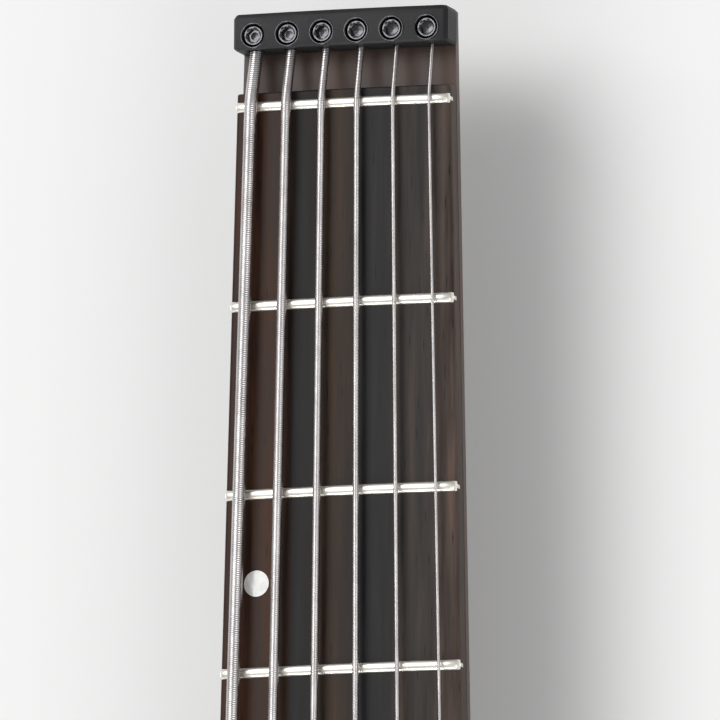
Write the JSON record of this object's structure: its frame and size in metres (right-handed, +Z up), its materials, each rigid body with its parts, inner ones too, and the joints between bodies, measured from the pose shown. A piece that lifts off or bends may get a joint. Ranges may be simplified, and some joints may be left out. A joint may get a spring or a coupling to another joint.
{
  "type": "headless bass guitar",
  "caption": "Headless bass guitar with straight frets, a zero fret, a clamping headpiece and tuners at the tail.",
  "frame": {"origin": "on the floor under the middle of the outline, the bass lying on its back", "axes": "+X treble side, +Y towards the head, +Z up out of the fretboard"},
  "size_m": [0.33, 0.9814, 0.0573],
  "materials": {
    "body_lacquer": "satin black lacquer",
    "neck_wood": "oiled dark wood",
    "board_wood": "oiled, open pores",
    "fret_wire": "polished",
    "black_metal": "satin black",
    "bright_steel": "bright",
    "string_wire": "round wound",
    "black_plastic": "matte"
  },
  "bodies": {
    "frame": {"body": "body_lacquer", "neck": "neck_wood", "fretboard": "board_wood", "zero_fret": "fret_wire", "headpiece": "black_metal", "bridge_plate": "black_metal", "neck_pickup": "black_plastic", "bridge_pickup": "black_plastic", "switch_housing": "bright_steel", "control_cover": "black_plastic", "truss_rod": "bright_steel", "horn_strap_button": "black_metal", "tail_strap_button": "black_metal", "output_jack": "black_metal", "string_b": "string_wire", "string_e": "string_wire", "string_a": "string_wire", "string_d": "string_wire", "string_g": "string_wire", "string_c": "string_wire", "volume_pot": "bright_steel", "blend_pot": "bright_steel", "tone_pot": "bright_steel", "neck_bolt_1": "bright_steel", "neck_bolt_2": "bright_steel", "neck_bolt_3": "bright_steel", "neck_bolt_4": "bright_steel"},
    "tuner_b": {"tuner_b": "black_metal"},
    "carriage_b": {"carriage_b": "black_metal"},
    "saddle_b": {"saddle_b": "black_metal"},
    "clamp_b": {"clamp_screw_b": "bright_steel"},
    "tuner_e": {"tuner_e": "black_metal"},
    "carriage_e": {"carriage_e": "black_metal"},
    "saddle_e": {"saddle_e": "black_metal"},
    "clamp_e": {"clamp_screw_e": "bright_steel"},
    "tuner_a": {"tuner_a": "black_metal"},
    "carriage_a": {"carriage_a": "black_metal"},
    "saddle_a": {"saddle_a": "black_metal"},
    "clamp_a": {"clamp_screw_a": "bright_steel"},
    "tuner_d": {"tuner_d": "black_metal"},
    "carriage_d": {"carriage_d": "black_metal"},
    "saddle_d": {"saddle_d": "black_metal"},
    "clamp_d": {"clamp_screw_d": "bright_steel"},
    "tuner_g": {"tuner_g": "black_metal"},
    "carriage_g": {"carriage_g": "black_metal"},
    "saddle_g": {"saddle_g": "black_metal"},
    "clamp_g": {"clamp_screw_g": "bright_steel"},
    "tuner_c": {"tuner_c": "black_metal"},
    "carriage_c": {"carriage_c": "black_metal"},
    "saddle_c": {"saddle_c": "black_metal"},
    "clamp_c": {"clamp_screw_c": "bright_steel"},
    "volume_knob": {"volume_knob": "black_metal"},
    "blend_knob": {"blend_knob": "black_metal"},
    "tone_knob": {"tone_knob": "black_metal"},
    "switch_lever": {"switch_lever": "bright_steel"},
    "truss_wheel": {"truss_wheel": "bright_steel"}
  },
  "joints": [
    {"name": "tuner_b_turn", "type": "hinge", "parent": "frame", "child": "tuner_b", "pos_m": [-0.04325, -0.4532, 0.0478], "axis": [0, -1, 0], "range_deg": [-2520, 2520]},
    {"name": "carriage_b_slide", "type": "slide", "parent": "frame", "child": "carriage_b", "axis": [0, -1, 0], "range_m": [-0.0057, 0.0057]},
    {"name": "saddle_b_slide", "type": "slide", "parent": "frame", "child": "saddle_b", "axis": [0, 1, 0], "range_m": [0, 0.006]},
    {"name": "clamp_b_lift", "type": "slide", "parent": "frame", "child": "clamp_b", "axis": [0, 0, 1], "range_m": [0, 0.0015]},
    {"name": "tuner_e_turn", "type": "hinge", "parent": "frame", "child": "tuner_e", "pos_m": [-0.02595, -0.4532, 0.0478], "axis": [0, -1, 0], "range_deg": [-2520, 2520]},
    {"name": "carriage_e_slide", "type": "slide", "parent": "frame", "child": "carriage_e", "axis": [0, -1, 0], "range_m": [-0.0057, 0.0057]},
    {"name": "saddle_e_slide", "type": "slide", "parent": "frame", "child": "saddle_e", "axis": [0, 1, 0], "range_m": [0, 0.006]},
    {"name": "clamp_e_lift", "type": "slide", "parent": "frame", "child": "clamp_e", "axis": [0, 0, 1], "range_m": [0, 0.0015]},
    {"name": "tuner_a_turn", "type": "hinge", "parent": "frame", "child": "tuner_a", "pos_m": [-0.00865, -0.4532, 0.0478], "axis": [0, -1, 0], "range_deg": [-2520, 2520]},
    {"name": "carriage_a_slide", "type": "slide", "parent": "frame", "child": "carriage_a", "axis": [0, -1, 0], "range_m": [-0.0057, 0.0057]},
    {"name": "saddle_a_slide", "type": "slide", "parent": "frame", "child": "saddle_a", "axis": [0, 1, 0], "range_m": [0, 0.006]},
    {"name": "clamp_a_lift", "type": "slide", "parent": "frame", "child": "clamp_a", "axis": [0, 0, 1], "range_m": [0, 0.0015]},
    {"name": "tuner_d_turn", "type": "hinge", "parent": "frame", "child": "tuner_d", "pos_m": [0.00865, -0.4532, 0.0478], "axis": [0, -1, 0], "range_deg": [-2520, 2520]},
    {"name": "carriage_d_slide", "type": "slide", "parent": "frame", "child": "carriage_d", "axis": [0, -1, 0], "range_m": [-0.0057, 0.0057]},
    {"name": "saddle_d_slide", "type": "slide", "parent": "frame", "child": "saddle_d", "axis": [0, 1, 0], "range_m": [0, 0.006]},
    {"name": "clamp_d_lift", "type": "slide", "parent": "frame", "child": "clamp_d", "axis": [0, 0, 1], "range_m": [0, 0.0015]},
    {"name": "tuner_g_turn", "type": "hinge", "parent": "frame", "child": "tuner_g", "pos_m": [0.02595, -0.4532, 0.0478], "axis": [0, -1, 0], "range_deg": [-2520, 2520]},
    {"name": "carriage_g_slide", "type": "slide", "parent": "frame", "child": "carriage_g", "axis": [0, -1, 0], "range_m": [-0.0057, 0.0057]},
    {"name": "saddle_g_slide", "type": "slide", "parent": "frame", "child": "saddle_g", "axis": [0, 1, 0], "range_m": [0, 0.006]},
    {"name": "clamp_g_lift", "type": "slide", "parent": "frame", "child": "clamp_g", "axis": [0, 0, 1], "range_m": [0, 0.0015]},
    {"name": "tuner_c_turn", "type": "hinge", "parent": "frame", "child": "tuner_c", "pos_m": [0.04325, -0.4532, 0.0478], "axis": [0, -1, 0], "range_deg": [-2520, 2520]},
    {"name": "carriage_c_slide", "type": "slide", "parent": "frame", "child": "carriage_c", "axis": [0, -1, 0], "range_m": [-0.0057, 0.0057]},
    {"name": "saddle_c_slide", "type": "slide", "parent": "frame", "child": "saddle_c", "axis": [0, 1, 0], "range_m": [0, 0.006]},
    {"name": "clamp_c_lift", "type": "slide", "parent": "frame", "child": "clamp_c", "axis": [0, 0, 1], "range_m": [0, 0.0015]},
    {"name": "volume_turn", "type": "hinge", "parent": "frame", "child": "volume_knob", "pos_m": [0.104, -0.3412, 0.0419], "axis": [0, 0, 1], "range_deg": [-135, 135]},
    {"name": "blend_turn", "type": "hinge", "parent": "frame", "child": "blend_knob", "pos_m": [0.104, -0.3772, 0.0419], "axis": [0, 0, 1], "range_deg": [-135, 135]},
    {"name": "tone_turn", "type": "hinge", "parent": "frame", "child": "tone_knob", "pos_m": [0.104, -0.4132, 0.0419], "axis": [0, 0, 1], "range_deg": [-135, 135]},
    {"name": "switch_tilt", "type": "hinge", "parent": "frame", "child": "switch_lever", "pos_m": [0.084, -0.3592, 0.0428], "axis": [1, 0, 0], "range_deg": [-12, 12], "stiffness_Nm_per_rad": 0.002},
    {"name": "truss_wheel_turn", "type": "hinge", "parent": "frame", "child": "truss_wheel", "pos_m": [0, -0.1893, 0.0385], "axis": [0, -1, 0], "range_deg": [-180, 180]}
  ],
  "couplings": [
    {"joint": "carriage_b_slide", "follows": "tuner_b_turn", "m_per_rad": 0.00012732},
    {"joint": "carriage_e_slide", "follows": "tuner_e_turn", "m_per_rad": 0.00012732},
    {"joint": "carriage_a_slide", "follows": "tuner_a_turn", "m_per_rad": 0.00012732},
    {"joint": "carriage_d_slide", "follows": "tuner_d_turn", "m_per_rad": 0.00012732},
    {"joint": "carriage_g_slide", "follows": "tuner_g_turn", "m_per_rad": 0.00012732},
    {"joint": "carriage_c_slide", "follows": "tuner_c_turn", "m_per_rad": 0.00012732}
  ]
}
